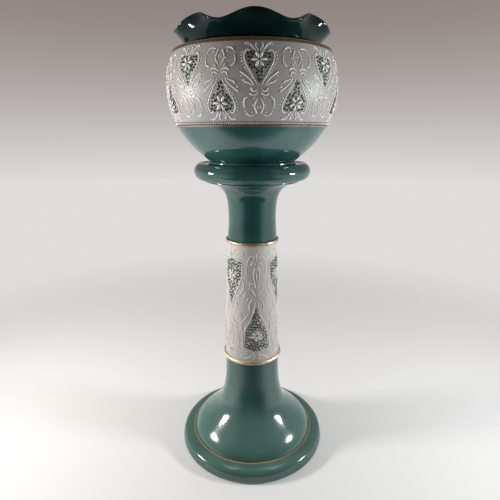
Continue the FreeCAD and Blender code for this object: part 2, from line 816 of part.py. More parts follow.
nodes = {
    "stand_foot_flange": wall_section(
        foot_flange_curve, stand_wall, inside_high=foot_joint_low, shares=(0.2, 0.4, 0.8)
    ),
    "stand_foot_gilt_line": make_foot_gilt_line(),
    "stand_foot_dome": wall_section(
        foot_dome_curve, stand_wall, inside_low=foot_joint_low, high_seat=ring_half_height
    ),
    "stand_lower_gilt_ring": bead_ring(drum_low_radius, drum_low, lower_ring_proud),
    "stand_drum": wall_section(
        drum_curve, stand_wall, low_seat=ring_half_height, high_seat=ring_half_height
    ),
    "stand_upper_gilt_ring": bead_ring(drum_high_radius, drum_high, upper_ring_proud),
    "stand_neck": wall_section(neck_curve, stand_wall, low_seat=ring_half_height),
    "stand_flange_step": make_flange_step(),
    "stand_top_flange": make_top_flange(),
    "stand_slip_trails": on_drum(drum_slip),
    "stand_florets": on_drum(
        lambda wall, flip: florets(wall, drum_floret_spots(), DRUM_TIP_FLORET, flip)
    ),
    "stand_blossom_petals": on_drum(
        lambda wall, flip: petals(wall, drum_blossom_up, drum_petal_reach, flip)
    ),
    "stand_blossom_eyes": on_drum(lambda wall, flip: [blossom_eye(wall, drum_blossom_up, flip)]),
    "pot_foot_ring": make_foot_ring(),
    "pot_bowl": make_bowl(),
    "pot_lower_gilt_line": skin_between(band_curve, band_low, low_beads, gilt_proud),
    "pot_lower_bead_row": skin_between(band_curve, low_beads, pattern_low, bead_row_proud),
    "pot_belly_band": wall_section(band_curve, pot_wall, inside_high=shoulder_inside),
    "pot_upper_bead_row": skin_between(band_curve, pattern_high, high_beads, bead_row_proud),
    "pot_upper_gilt_line": skin_between(band_curve, high_beads, band_high, gilt_proud),
    "pot_collar": make_collar(),
    "pot_frilled_rim": make_frilled_rim(),
    "pot_slip_trails": on_pot(pot_slip),
    "pot_leaf_buds": on_pot(pot_buds),
    "pot_florets": on_pot(lambda wall, flip: florets(wall, POT_FLORETS, POT_TIP_FLORET, flip)),
    "pot_blossom_petals": on_pot(lambda wall, flip: petals(wall, pot_blossom_up, pot_petal_reach, flip)),
    "pot_blossom_eyes": on_pot(lambda wall, flip: [blossom_eye(wall, pot_blossom_up, flip)]),
}

for name, shape in nodes.items():
    shape.exportStep("parts/" + name + ".step")
    sound = all(solid.isValid() for solid in shape.Solids)
    box = shape.BoundBox
    print(name, len(shape.Solids), "sound" if sound else "BROKEN", round(box.ZMin, 1), round(box.ZMax, 1))
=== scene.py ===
"""Looks for a green-glazed jardiniere on its stand, with trailed slip hearts and a frilled rim.

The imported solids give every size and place. Each operator below finishes one kind of
surface or models one kind of raised ornament, in metres, in the same frame.
"""
import math
import random

import bpy
from bpy.props import FloatProperty, FloatVectorProperty, IntProperty, PointerProperty
from mathutils import Matrix, Vector


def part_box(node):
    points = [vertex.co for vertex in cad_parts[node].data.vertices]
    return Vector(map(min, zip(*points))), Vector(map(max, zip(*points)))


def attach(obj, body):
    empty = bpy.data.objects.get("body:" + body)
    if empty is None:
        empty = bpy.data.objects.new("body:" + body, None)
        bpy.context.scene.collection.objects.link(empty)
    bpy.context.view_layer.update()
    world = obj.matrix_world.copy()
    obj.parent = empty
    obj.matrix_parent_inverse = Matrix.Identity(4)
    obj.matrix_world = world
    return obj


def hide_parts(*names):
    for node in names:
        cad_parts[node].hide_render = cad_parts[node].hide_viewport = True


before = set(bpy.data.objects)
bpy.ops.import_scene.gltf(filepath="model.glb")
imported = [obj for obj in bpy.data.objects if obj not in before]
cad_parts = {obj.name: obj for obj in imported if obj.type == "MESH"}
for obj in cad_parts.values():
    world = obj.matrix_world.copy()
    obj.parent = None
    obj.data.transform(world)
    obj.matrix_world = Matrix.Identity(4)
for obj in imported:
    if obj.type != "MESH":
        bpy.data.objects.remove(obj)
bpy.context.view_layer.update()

bl_info = {
    "name": "Jardiniere on stand",
    "version": (1, 0, 0),
    "blender": (4, 5, 0),
    "location": "3D View > Sidebar > Jardiniere",
    "description": "Glazes, slip ornament and studio for a jardiniere on its stand",
    "category": "Object",
}

MM = 0.001
FULL_TURN = 2 * math.pi
POT = "jardiniere"
STAND = "stand"

CAST_FROM = 0.4  # metres from the axis, outside every wall
SMOOTH_UNDER = math.radians(50.0)
DRUM_DRAWING_DROP = 2.5 * MM
DOME_RINGS = 150
DOME_READINGS = 24  # round the axis, for each ring
DOME_STEPS = 192
DOME_SMOOTHINGS = 5
FLORET_DOTS = 5
BLOSSOM_PETALS = 6

GLAZE_IOR = 1.75
COLLAR_IOR = 1.4
RIM_IOR = 1.3
# Partly thicker glaze, partly painted shade: the collar under the overhanging frill and the rim are
# darkened in colour.
THICK_GLAZE_AND_SHADE = 0.2  # how dark the collar's and the rim's glaze is beside the rest
# A paler green laid on upward faces: partly settled dust, partly painted light that brightens the dome and
# the foot flange.
DUST_AND_LIGHT_VEIL = (0.155, 0.315, 0.265, 1.0)
DUST_SPECK = (0.24, 0.27, 0.23, 1.0)
BARE_LIP = (0.10, 0.062, 0.024, 1.0)
WORN_GILT = (0.44, 0.35, 0.215)

LAMP_REACH = 1.25
LAMP_UP = 0.73
LAMP_TALL = 0.10
LAMP_AIM = Vector((0, 0, 0.55))
SEEN_BELOW = (0.74, 0.725, 0.715, 1.0)
SEEN_ABOVE = (0.26, 0.22, 0.205, 1.0)

# ------------------------------------------------------- the drawn ornament, in mm
# Across from the middle line of a heart spray and up from the middle of its wall,
# with the heart's point down. Every second spray is turned over.
POT_ROSETTES = ((-14.9, 38.6, 12), (13.6, 37.2, 50), (-10.2, 23.5, 30), (8.9, 24.4, 0), (0.0, 11.4, 36))
POT_SINGLES = (
    (16.8, 28.0), (-0.8, 42.2), (-3.4, 36.6), (-16.6, 29.4), (-8.6, 31.6), (5.6, 34.0),
    (-2.1, 2.8), (2.2, 2.2), (0.0, -0.9), (-4.6, 17.4), (4.4, 17.6),
)
DRUM_ROSETTES = (
    (1.6, 23.5, 10), (-3.9, 35.3, 40), (6.4, 43.8, 0), (-8.6, 49.5, 20), (-18.6, 62.0, 5),
    (-19.6, 76.0, 35), (-22.0, 90.5, 15), (-10.9, 92.6, 50), (0.9, 96.6, 25), (13.0, 88.8, 0),
    (21.6, 93.5, 30), (19.6, 76.4, 20), (18.0, 62.8, 45), (-1.1, 84.4, 30),
)
DRUM_SINGLES = (
    (0.2, 4.0), (-0.4, 9.5), (-1.9, 14.6), (2.1, 15.0), (-4.6, 26.0), (5.4, 31.5), (-9.6, 40.2),
    (10.6, 36.4), (12.4, 50.4), (-1.8, 51.4), (-14.4, 52.8), (6.0, 53.0), (16.4, 54.4), (-12.6, 84.6),
    (-16.0, 97.6), (7.2, 91.4), (-5.4, 100.8), (7.4, 101.2), (24.6, 84.6), (-25.4, 82.0), (12.8, 97.8),
    (-24.0, 68.6), (24.2, 69.0), (11.6, 79.6), (-9.4, 58.0),
)
# How wide a heart is, on either side, at heights up from its point.
POT_HEART = (
    (-2, 1.5), (4, 3.4), (11, 5.6), (17, 8.6), (24, 14.0), (31, 18.4), (38, 19.0), (43, 15.0), (45, 9.0),
)
DRUM_HEART = (
    (2, 1.2), (15, 4.4), (24, 8.4), (36, 13.4), (50, 19.0), (62, 23.4), (76, 26.2), (90, 28.0),
    (97, 25.6), (103, 15.0),
)
POT_WHITE_DOTS = (
    (27.4, 43.2), (29.0, 38.6), (29.0, 34.0), (27.4, 29.5), (25.1, 25.2), (22.5, 20.3), (20.2, 16.6),
    (17.6, 13.5), (15.6, 10.5), (13.3, 7.4), (11.0, 4.7),
    (18.2, 54.5), (13.9, 52.2), (10.7, 48.9), (7.6, 45.8),
    (23.4, -44.4), (12.0, -46.0),
)
DRUM_WHITE_DOTS = (
    (26.2, 112.0), (20.4, 110.2), (15.4, 106.6), (22.4, -88.4), (1.9, -112.0), (29.4, 62.4),
    (33.4, 51.6), (18.0, 7.6), (24.6, -24.6), (15.2, -47.0), (8.0, -100.6),
)
POT_BLOSSOM_UP = 31.6
DRUM_BLOSSOM_UP = 66.6
PETAL_SPINS = (0, 17, -9, 24, 8, -15, 11, -4)

# How the drawings wrap onto their walls: sprays round, the first one's turn in degrees,
# and the drawn pitch and height in mm.
POT_SPRAYS = {"count": 16, "first_down": 4.0, "pitch": 64.5, "height": 121.4}
DRUM_SPRAYS = {"count": 6, "first_down": -51.0, "pitch": 63.4, "height": 260.0}


# ------------------------------------------------------------------ the panel's values
def length(name, description, millimetres):
    return FloatProperty(name=name, description=description, default=millimetres * MM, unit="LENGTH")


def colour(name, description, default):
    return FloatVectorProperty(name=name, description=description, default=default, subtype="COLOR")


class JardiniereSizes(bpy.types.PropertyGroup):
    dot_radius: length("Enamel dot radius", "Radius of one dark enamel dot", 1.9)
    dot_height: length("Enamel dot height", "How far a dark dot stands proud", 0.5)
    rosette_radius: length("Rosette radius", "From a rosette's middle to its dots", 4.3)
    dot_pitch: length("Enamel dot pitch", "Between the loose dots of a heart", 4.7)
    slip_dot_radius: length("Slip dot radius", "Radius of one white slip dot", 1.25)
    petal_length: length("Petal length", "Length of one blossom petal", 10.8)
    petal_width: length("Petal width", "Widest part of one petal", 4.5)
    petal_height: length("Petal height", "How far a petal stands proud", 1.0)
    eye_radius: length("Blossom eye radius", "Radius of the blossom's middle", 2.1)
    tick_count: IntProperty(
        name="Bead ticks", description="Raised ticks in each tooled row round the pot", default=280
    )
    dome_wall: length("Dome wall", "Thickness of the dome's wall", 8.0)
    trail_keep: FloatProperty(
        name="Trail detail", description="Share of the slip trails' triangles that is kept", default=0.5,
        subtype="FACTOR",
    )


class JardiniereColours(bpy.types.PropertyGroup):
    glaze: colour("Green glaze", "Body colour of the green glaze", (0.017, 0.074, 0.065))
    glaze_thin: colour("Thin glaze", "The glaze where it runs thin", (0.034, 0.118, 0.105))
    ground: colour("Grey ground", "The satin slip ground", (0.42, 0.405, 0.39))
    slip: colour("White slip", "Trailed white slip", (0.86, 0.84, 0.825))
    gilding: colour("Gilding", "Burnished gold", (0.80, 0.645, 0.47))
    brown_gilding: colour("Brown gilding", "Gilding fired brown", (0.26, 0.18, 0.105))
    enamel: colour("Dark enamel", "Dark green dots", (0.009, 0.042, 0.024))
    eye: colour("Blossom eye", "Orange brown middle", (0.28, 0.15, 0.07))
    cream: colour("Cream buds", "Cream enamel", (0.66, 0.60, 0.52))
    bead_ground: colour("Bead ground", "Dark brown between the ticks", (0.03, 0.02, 0.013))
    floor: colour("Floor", "Pale studio floor", (0.93, 0.925, 0.92))


# ------------------------------------------------------------------------ making shapes
def deselect_all():
    if bpy.context.object and bpy.context.object.mode != "OBJECT":
        bpy.ops.object.mode_set(mode="OBJECT")
    bpy.ops.object.select_all(action="DESELECT")


def only(piece):
    """Make a piece the one that operators act on."""
    deselect_all()
    piece.select_set(True)
    bpy.context.view_layer.objects.active = piece


def apply_modifiers(piece):
    only(piece)
    for modifier in list(piece.modifiers):
        bpy.ops.object.modifier_apply(modifier=modifier.name)


def domed_model(name, radius, height, segments=8, rings=6):
    """A low dome on a flat foot: the upper half of a sphere, flattened."""
    deselect_all()
    bpy.ops.mesh.primitive_uv_sphere_add(segments=segments, ring_count=rings, radius=radius)
    piece = bpy.context.object
    piece.name = name
    bpy.ops.object.mode_set(mode="EDIT")
    bpy.ops.mesh.select_all(action="SELECT")
    bpy.ops.mesh.bisect(plane_co=(0, 0, -0.1 * radius), plane_no=(0, 0, 1), clear_inner=True, use_fill=True)
    bpy.ops.mesh.select_all(action="SELECT")
    bpy.ops.transform.resize(value=(1, 1, height / radius))
    bpy.ops.object.mode_set(mode="OBJECT")
    return piece


def select_where(piece, test):
    """In edit mode, select the points of a piece that pass a test."""
    bpy.ops.mesh.select_all(action="DESELECT")
    bpy.ops.object.mode_set(mode="OBJECT")
    for vertex in piece.data.vertices:
        vertex.select = test(vertex.co)
    bpy.ops.object.mode_set(mode="EDIT")


def petal_model(sizes):
    """A teardrop petal along +X: narrow by the eye, broad and round outside."""
    piece = domed_model("petal_model", sizes.petal_length / 2, sizes.petal_height, 14, 8)
    bpy.ops.object.mode_set(mode="EDIT")
    bpy.ops.mesh.select_all(action="SELECT")
    bpy.ops.transform.resize(value=(1, sizes.petal_width / sizes.petal_length, 1))
    for share, narrow in ((-0.9, 0.75), (-0.55, 0.72), (-0.2, 0.82), (0.15, 0.92)):
        limit = share * sizes.petal_length / 2
        select_where(piece, lambda co: co.x < limit)
        bpy.ops.transform.resize(value=(1, narrow, 1), center_override=(0, 0, 0))
    bpy.ops.object.mode_set(mode="OBJECT")
    return piece


def tick_model(name, width, height, proud):
    """One raised, softened tick of a tooled row, facing -Y."""
    deselect_all()
    bpy.ops.mesh.primitive_cube_add(size=1.0)
    piece = bpy.context.object
    piece.name = name
    bpy.ops.object.mode_set(mode="EDIT")
    bpy.ops.mesh.select_all(action="SELECT")
    bpy.ops.transform.resize(value=(width, 2 * proud, height))
    select_where(piece, lambda co: co.y < 0)
    bpy.ops.mesh.bevel(offset=0.8 * proud, segments=2, affect="EDGES")
    select_where(piece, lambda co: co.y > 0.99 * proud)
    bpy.ops.object.mode_set(mode="OBJECT")
    return piece


def stamped(model, where):
    """A copy of a model, with its place in its mesh."""
    mesh = model.data.copy()
    mesh.transform(where)
    piece = bpy.data.objects.new(model.name, mesh)
    bpy.context.scene.collection.objects.link(piece)
    return piece


def joined(pieces, name):
    """Many copies as one piece."""
    deselect_all()
    for piece in pieces:
        piece.select_set(True)
    bpy.context.view_layer.objects.active = pieces[0]
    if len(pieces) > 1:
        bpy.ops.object.join()
    piece = bpy.context.object
    piece.name = name
    piece.data.name = name
    return piece


def remove(piece):
    bpy.data.objects.remove(piece, do_unlink=True)


def finished(piece, body, material):
    """Smooth a piece, give it its finish and let it ride on its body."""
    only(piece)
    bpy.ops.object.shade_smooth_by_angle(angle=SMOOTH_UNDER)
    piece.data.materials.clear()
    piece.data.materials.append(material)
    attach(piece, body)
    return piece


# ------------------------------------------------------------------- walls and sprays
def cast(node, turn, height):
    """Where a wall is met from outside at a turn and a height, and the way out of it there."""
    outward = Vector((math.sin(turn), -math.cos(turn), 0))
    hit, point, normal, _ = node.ray_cast(outward * CAST_FROM + Vector((0, 0, height)), -outward)
    if not hit:
        raise RuntimeError("the wall " + node.name + " was missed at " + str((turn, height)))
    return point, -normal if normal.dot(outward) < 0 else normal


class Wall:
    """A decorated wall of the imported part, and how the flat drawing wraps onto it."""

    def __init__(self, node, low, high, sprays):
        self.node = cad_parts[node]
        self.middle = (low + high) / 2
        self.turn_per_mm = FULL_TURN / sprays["count"] / sprays["pitch"]
        self.rise_per_mm = (high - low) / sprays["height"]

    def spot(self, across, up):
        """The point on the wall, and the way out of it, at a drawn place."""
        return cast(self.node, across * self.turn_per_mm, self.middle + up * self.rise_per_mm)

    def seat(self, across, up, spin=0.0, scale=1.0):
        """Where a small flat piece sits: its +Z out of the wall, its +X level and then spun."""
        point, normal = self.spot(across, up)
        level = Vector((0, 0, 1)).cross(normal).normalized()
        rise = normal.cross(level)
        turned = Matrix((level, rise, normal)).transposed().to_4x4()
        return Matrix.Translation(point) @ turned @ Matrix.Rotation(spin, 4, "Z") @ Matrix.Scale(scale, 4)


def pot_wall():
    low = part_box("pot_lower_bead_row")[1].z
    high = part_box("pot_upper_bead_row")[0].z
    return Wall("pot_belly_band", low, high, POT_SPRAYS)


def drum_wall():
    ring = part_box("stand_lower_gilt_ring")
    half_ring = (ring[1].z - ring[0].z) / 2
    low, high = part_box("stand_drum")
    low_edge, high_edge = (level - DRUM_DRAWING_DROP for level in (low.z + half_ring, high.z - half_ring))
    return Wall("stand_drum", low_edge, high_edge, DRUM_SPRAYS)


def all_round(make, sprays, name):
    """One spray of each kind, copied round the upright axis and joined."""
    pitch = FULL_TURN / sprays["count"]
    first = math.radians(sprays["first_down"])
    pieces = []
    for flip, start in ((1, first), (-1, first + pitch)):
        spray = make(flip)
        for number in range(sprays["count"] // 2):
            pieces.append(stamped(spray, Matrix.Rotation(start + 2 * pitch * number, 4, "Z")))
        remove(spray)
    return joined(pieces, name)


def mirrored(places):
    return list(places) + [(-across, up) for across, up in places]


def gaps_filled(heart, taken, blossom_up, pitch, chance):
    """More dots, in loose staggered rows, wherever a heart still has room for one."""
    filled = []
    up = heart[0][0]
    row = 0
    while up < heart[-1][0]:
        below, above = next(pair for pair in zip(heart, heart[1:]) if pair[1][0] > up)
        half = below[1] + (above[1] - below[1]) * (up - below[0]) / (above[0] - below[0])
        count = int(half / pitch) + 1
        for place in range(-count, count + 1):
            across = (place + 0.5 * (row % 2)) * pitch + chance.uniform(-0.5, 0.5)
            here = (across, up + chance.uniform(-0.5, 0.5))
            clear = all(math.dist(here, other) > 0.86 * pitch for other in taken + filled)
            if abs(across) < half and clear and math.dist(here, (0, blossom_up)) > 2.7 * pitch:
                filled.append(here)
        up += 0.86 * pitch
        row += 1
    return filled


# ----------------------------------------------------------------------- the finishes
class Finish:
    """A material's or group's tree, with short ways to add and join nodes."""

    def __init__(self, tree):
        self.tree = tree

    def add(self, kind, **settings):
        node = self.tree.nodes.new(kind)
        for name, value in settings.items():
            if name in node.inputs.keys():
                node.inputs[name].default_value = value
            else:
                setattr(node, name, value)
        return node

    def join(self, output, target):
        self.tree.links.new(output, target)

    def noise(self, where, scale, detail=3.0, roughness=0.55):
        node = self.add("ShaderNodeTexNoise")
        node.inputs["Scale"].default_value = scale
        node.inputs["Detail"].default_value = detail
        node.inputs["Roughness"].default_value = roughness
        self.join(where, node.inputs["Vector"])
        return node.outputs["Fac"]

    def ramp(self, value, low, high, out_low=0.0, out_high=1.0):
        node = self.add("ShaderNodeMapRange", interpolation_type="SMOOTHSTEP")
        node.inputs["From Min"].default_value = low
        node.inputs["From Max"].default_value = high
        node.inputs["To Min"].default_value = out_low
        node.inputs["To Max"].default_value = out_high
        self.join(value, node.inputs["Value"])
        return node.outputs["Result"]

    def math(self, operation, first, second):
        node = self.add("ShaderNodeMath", operation=operation)
        for socket, value in zip(node.inputs, (first, second)):
            if isinstance(value, (int, float)):
                socket.default_value = value
            else:
                self.join(value, socket)
        return node.outputs["Value"]

    def mix(self, share, first, second):
        node = self.add("ShaderNodeMix", data_type="RGBA")
        for socket, value in zip((node.inputs[0], node.inputs[6], node.inputs[7]), (share, first, second)):
            if isinstance(value, (int, float, tuple)):
                socket.default_value = value
            else:
                self.join(value, socket)
        return node.outputs[2]

    def place(self):
        return self.add("ShaderNodeTexCoord").outputs["Object"]

    def facing(self):
        return self.add("ShaderNodeNewGeometry").outputs["Normal"]

    def parts(self, vector):
        """A vector's X, Y and Z."""
        node = self.add("ShaderNodeSeparateXYZ")
        self.join(vector, node.inputs[0])
        return node.outputs

    def show(self, target, fade, first, second):
        """Blend two shaders by a fade, and show them."""
        blend = self.add("ShaderNodeMixShader")
        for value, socket in zip((fade, first.outputs[0], second.outputs[0]), blend.inputs):
            self.join(value, socket)
        self.join(blend.outputs[0], target.inputs["Surface"])

    def fade_out(self, shader, fade):
        """Let a material's surface turn clear as a fade goes from nought to one."""
        out = next(node for node in self.tree.nodes if node.type == "OUTPUT_MATERIAL")
        self.show(out, fade, shader, self.add("ShaderNodeBsdfTransparent"))

    def bump(self, height, distance, strength=1.0, normal=None):
        node = self.add("ShaderNodeBump")
        node.inputs["Distance"].default_value = distance
        node.inputs["Strength"].default_value = strength
        self.join(height, node.inputs["Height"])
        if normal is not None:
            self.join(normal, node.inputs["Normal"])
        return node.outputs["Normal"]


def rgba(colour, scale=1.0):
    return tuple(channel * scale for channel in colour) + (1.0,)


def new_group(name, inputs, outputs):
    group = bpy.data.node_groups.new(name, "ShaderNodeTree")
    for label, kind, default in inputs:
        socket = group.interface.new_socket(name=label, in_out="INPUT", socket_type=kind)
        socket.default_value = default
    for label, kind in outputs:
        group.interface.new_socket(name=label, in_out="OUTPUT", socket_type=kind)
    finish = Finish(group)
    return group, finish, finish.add("NodeGroupInput"), finish.add("NodeGroupOutput")


def mottle_group():
    """Slow pooling of a fired surface: a mask of thick and thin, and a gentle unevenness."""
    name = "fired_mottle"
    if name in bpy.data.node_groups:
        return bpy.data.node_groups[name]
    group, finish, given, out = new_group(
        name,
        [("Scale", "NodeSocketFloat", 18.0), ("Unevenness", "NodeSocketFloat", 0.3)],
        [("Thin", "NodeSocketFloat"), ("Height", "NodeSocketFloat")],
    )
    where = finish.place()
    slow = finish.add("ShaderNodeTexNoise")
    slow.inputs["Detail"].default_value = 4.0
    finish.join(where, slow.inputs["Vector"])
    finish.join(given.outputs["Scale"], slow.inputs["Scale"])
    fine = finish.math("MULTIPLY", finish.noise(where, 160.0, 2.0), 0.02)
    finish.join(finish.ramp(slow.outputs["Fac"], 0.35, 0.7), out.inputs["Thin"])
    height = finish.math("ADD", slow.outputs["Fac"], fine)
    finish.join(finish.math("MULTIPLY", height, given.outputs["Unevenness"]), out.inputs["Height"])
    return group


def speck_group():
    """Scattered tiny specks, such as dust, pinholes or chips in a worn line."""
    name = "specks"
    if name in bpy.data.node_groups:
        return bpy.data.node_groups[name]
    group, finish, given, out = new_group(
        name,
        [("Scale", "NodeSocketFloat", 300.0), ("Amount", "NodeSocketFloat", 0.3)],
        [("Mask", "NodeSocketFloat")],
    )
    where = finish.place()
    fine = finish.add("ShaderNodeTexNoise")
    fine.inputs["Detail"].default_value = 2.0
    finish.join(where, fine.inputs["Vector"])
    finish.join(given.outputs["Scale"], fine.inputs["Scale"])
    patch = finish.noise(where, 22.0, 2.0)
    spots = finish.ramp(fine.outputs["Fac"], 0.60, 0.70)
    patches = finish.ramp(patch, 0.38, 0.66)
    finish.join(
        finish.math("MULTIPLY", finish.math("MULTIPLY", spots, patches), given.outputs["Amount"]),
        out.inputs["Mask"],
    )
    return group


def use_group(finish, group, **values):
    node = finish.add("ShaderNodeGroup", node_tree=group)
    for name, value in values.items():
        node.inputs[name].default_value = value
    return node


def new_material(name):
    material = bpy.data.materials.new(name)
    material.use_nodes = True
    finish = Finish(material.node_tree)
    shader = next(node for node in finish.tree.nodes if node.type == "BSDF_PRINCIPLED")
    return material, finish, shader


def glaze_finish(finish, shader, colours, dust_and_light=0.0, dark=1.0):
    """Deep green glaze: pooling, pinholes and, low down, a little dust, with a paler green veil on upward
    faces that is partly dust and partly painted light.
    """
    mottle = use_group(finish, mottle_group(), Scale=14.0, Unevenness=0.04)
    colour = finish.mix(mottle.outputs["Thin"], rgba(colours.glaze, dark), rgba(colours.glaze_thin, dark))
    pits = use_group(finish, speck_group(), Scale=420.0, Amount=0.35)
    colour = finish.mix(pits.outputs["Mask"], colour, rgba(colours.glaze, 0.3 * dark))
    roughness = finish.ramp(mottle.outputs["Thin"], 0.0, 1.0, 0.05, 0.09)
    if dust_and_light:
        specks = use_group(finish, speck_group(), Scale=900.0, Amount=dust_and_light)
        facing = finish.parts(finish.facing())
        # Paler green on upward faces: partly settled dust, partly painted light.
        settled_and_lit = finish.ramp(facing["Z"], 0.0, 0.75, 0.12 * dust_and_light, 0.82 * dust_and_light)
        colour = finish.mix(settled_and_lit, colour, DUST_AND_LIGHT_VEIL)
        colour = finish.mix(specks.outputs["Mask"], colour, DUST_SPECK)
        roughness = finish.math("ADD", roughness, finish.math("MULTIPLY", specks.outputs["Mask"], 0.06))
        roughness = finish.math("ADD", roughness, 0.06)
    shader.inputs["IOR"].default_value = GLAZE_IOR
    normal = finish.bump(mottle.outputs["Height"], 1.2 * MM)
    return colour, roughness, normal


def glaze_material(name, colours, dust_and_light=0.0, dark=1.0, ior=GLAZE_IOR):
    material, finish, shader = new_material(name)
    colour, roughness, normal = glaze_finish(finish, shader, colours, dust_and_light, dark)
    shader.inputs["IOR"].default_value = ior
    finish.join(colour, shader.inputs["Base Color"])
    finish.join(roughness, shader.inputs["Roughness"])
    finish.join(normal, shader.inputs["Normal"])
    return material


def gilding_material(name, colours, worn, lapped_above=None, tone_and_painted_light=1.0):
    """Burnished gold line; where worn, the glaze under it shows through."""
    material, finish, shader = new_material(name)
    specks = use_group(finish, speck_group(), Scale=260.0, Amount=worn)
    where = finish.place()
    rubbed = finish.ramp(finish.noise(where, 46.0, 5.0), 0.62 - 0.22 * worn, 0.78 - 0.1 * worn)
    bare = finish.math("MAXIMUM", specks.outputs["Mask"], rubbed)
    under, roughness, normal = glaze_finish(finish, shader, colours)
    if lapped_above is not None:
        wander = finish.math("MULTIPLY", finish.noise(where, 30.0), 1.6 * MM)
        edge = finish.math("ADD", finish.parts(where)["Z"], wander)
        lap = finish.ramp(edge, lapped_above, lapped_above + 0.5 * MM)
        bare = finish.math("MAXIMUM", bare, lap)
    tone = finish.ramp(finish.noise(where, 90.0, 4.0), 0.3, 0.7)
    # The gold's colour is scaled by this value: below one a duller tone, above one painted light.
    gold = finish.mix(tone, rgba(colours.gilding, tone_and_painted_light), rgba(colours.gilding, 0.72 * tone_and_painted_light))
    finish.join(finish.mix(bare, gold, under), shader.inputs["Base Color"])
    finish.join(finish.ramp(bare, 0.0, 1.0, 0.85, 0.0), shader.inputs["Metallic"])
    finish.join(finish.ramp(bare, 0.0, 1.0, 0.42, 0.08), shader.inputs["Roughness"])
    brushed = finish.bump(finish.noise(where, 220.0, 4.0), 0.25 * MM, 0.8, normal)
    finish.join(brushed, shader.inputs["Normal"])
    return material


def ground_material(name, colours, painted_light_scale=1.0):
    """Grey slip ground: fine-grained satin, in warmer and cooler patches, and glazed green inside."""
    material, finish, shader = new_material(name)
    mottle = use_group(finish, mottle_group(), Scale=9.0, Unevenness=0.12)
    # The whole ground is scaled lighter or darker by the painted light scale; this is painted light, since
    # the band and the drum are the same slip.
    warm = tuple(painted_light_scale * c * f for c, f in zip(colours.ground, (1.04, 1.0, 0.955))) + (1.0,)
    cool = tuple(painted_light_scale * c * f for c, f in zip(colours.ground, (0.93, 0.955, 0.975))) + (1.0,)
    colour = finish.mix(mottle.outputs["Thin"], warm, cool)
    where = finish.place()
    grain = finish.noise(where, 700.0, 3.0, 0.7)
    grained = finish.ramp(grain, 0.42, 0.75, 0.0, 0.34)
    colour = finish.mix(grained, colour, rgba(colours.ground, 0.62 * painted_light_scale))
    pits = use_group(finish, speck_group(), Scale=340.0, Amount=0.5)
    colour = finish.mix(pits.outputs["Mask"], colour, rgba(colours.ground, 0.55 * painted_light_scale))
    inward = finish.add("ShaderNodeVectorMath", operation="DOT_PRODUCT")
    finish.join(finish.facing(), inward.inputs[0])
    level = finish.add("ShaderNodeVectorMath", operation="MULTIPLY")
    level.inputs[1].default_value = (1.0, 1.0, 0.0)
    finish.join(where, level.inputs[0])
    finish.join(level.outputs["Vector"], inward.inputs[1])
    inside = finish.ramp(inward.outputs["Value"], -0.02, -0.01, 1.0, 0.0)
    colour = finish.mix(inside, colour, rgba(colours.glaze))
    finish.join(colour, shader.inputs["Base Color"])
    glossier = finish.math("SUBTRACT", 1.0, finish.math("MULTIPLY", inside, 0.8))
    rough = finish.math("MULTIPLY", finish.ramp(grain, 0.3, 0.7, 0.38, 0.50), glossier)
    finish.join(rough, shader.inputs["Roughness"])
    slow = finish.bump(mottle.outputs["Height"], 1.0 * MM)
    finish.join(finish.bump(grain, 0.22 * MM, 0.8, slow), shader.inputs["Normal"])
    return material


def slip_material(name, colour, shade=0.75, roughness=0.33):
    """Trailed slip or enamel: thick and glossy on top, thinner and duller in places."""
    material, finish, shader = new_material(name)
    where = finish.place()
    mottle = use_group(finish, mottle_group(), Scale=70.0, Unevenness=0.2)
    fine = finish.noise(where, 500.0, 3.0)
    blotch = finish.math("MULTIPLY", mottle.outputs["Thin"], finish.ramp(fine, 0.35, 0.7))
    finish.join(finish.mix(blotch, rgba(colour), rgba(colour, shade)), shader.inputs["Base Color"])
    duller = finish.ramp(fine, 0.3, 0.7, roughness - 0.06, roughness + 0.08)
    finish.join(duller, shader.inputs["Roughness"])
    finish.join(finish.bump(fine, 0.15 * MM, 0.7), shader.inputs["Normal"])
    return material


def dress(nodes, material):
    """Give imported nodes, whose shape is right as it is, their finish."""
    for name in nodes:
        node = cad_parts[name]
        node.data.materials.clear()
        node.data.materials.append(material)


# ------------------------------------------------------------------------- the operators
class GlazeSections(bpy.types.Operator):
    """Green glaze on the turned sections of the stand and the pot"""
    bl_idname = "jardiniere.glaze_sections"
    bl_label = "Glaze the turned sections"

    def execute(self, context):
        colours = context.scene.jardiniere_colours
        dress(
            ("stand_neck", "stand_flange_step", "stand_top_flange", "pot_bowl", "pot_foot_ring"),
            glaze_material("green_glaze", colours),
        )
        dress(("stand_foot_flange",), glaze_material("green_glaze_dusty_and_lightened", colours, dust_and_light=0.5))
        return {"FINISHED"}


def dome_profile(node, low, high):
    """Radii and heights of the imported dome's outer skin, evened out from ring to ring."""
    inset = 0.02 * MM
    rise = (high - low - 2 * inset) / DOME_RINGS
    heights = [low + inset + rise * ring for ring in range(DOME_RINGS + 1)]
    turns = [FULL_TURN * (number + 0.37) / DOME_READINGS for number in range(DOME_READINGS)]
    radii = []
    for height in heights:
        found = [cast(node, turn, height)[0] for turn in turns]
        radii.append(sum(math.hypot(point.x, point.y) for point in found) / DOME_READINGS)
    for _ in range(DOME_SMOOTHINGS):
        inner = [(a + 2 * b + c) / 4 for a, b, c in zip(radii, radii[1:], radii[2:])]
        radii = [radii[0]] + inner + [radii[-1]]
    heights[0], heights[-1] = low, high
    return zip(radii, heights)


